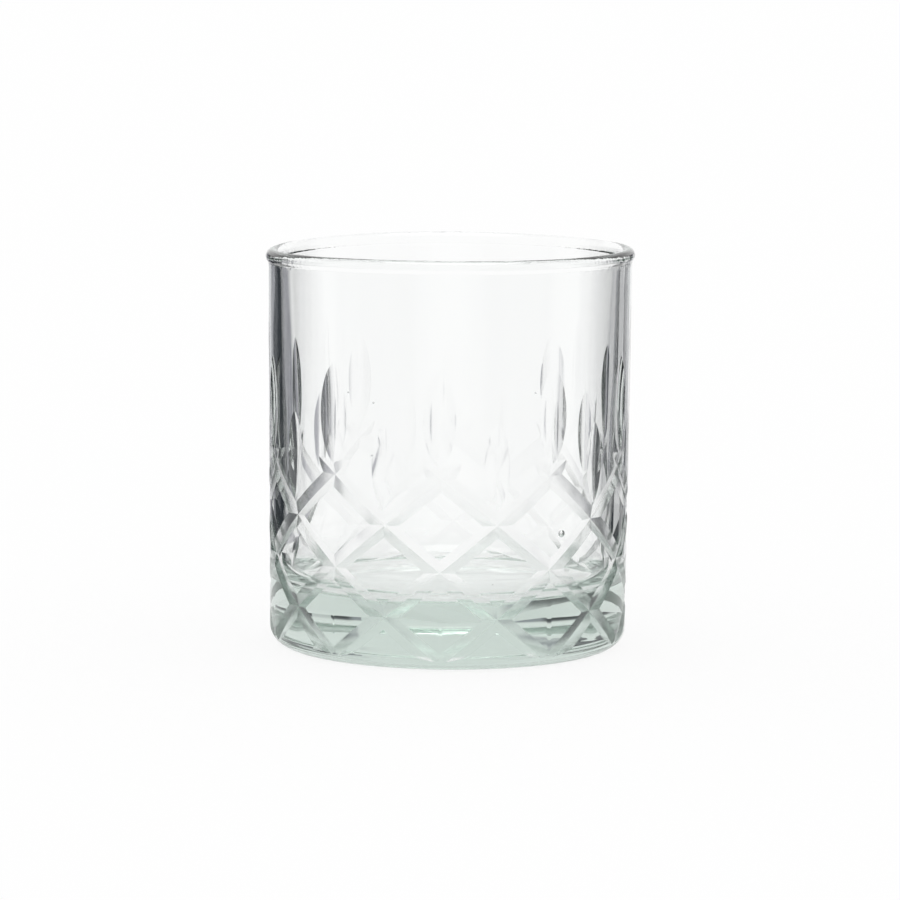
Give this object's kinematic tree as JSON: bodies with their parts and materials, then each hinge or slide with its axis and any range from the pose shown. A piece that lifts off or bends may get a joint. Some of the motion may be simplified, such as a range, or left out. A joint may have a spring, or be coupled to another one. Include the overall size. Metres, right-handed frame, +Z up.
{
  "type": "whisky glass",
  "caption": "Straight-sided old-fashioned whisky tumbler of clear glass with a heavy base, a rolled rim, a cut lattice round the lower half and upright olive cuts above it.",
  "frame": {"origin": "centre of the plane that the glass stands on, under its axis", "axes": "+Z up along the glass's axis, -Y the front, which looks straight at a column of crossings in the cut lattice"},
  "size_m": [0.086, 0.086, 0.0935],
  "materials": {
    "clear_glass": "clear polished glass with a faint green tint and satin-ground cuts"
  },
  "bodies": {
    "root": {"rim_bead": "clear_glass", "wall": "clear_glass", "base": "clear_glass"}
  },
  "joints": []
}
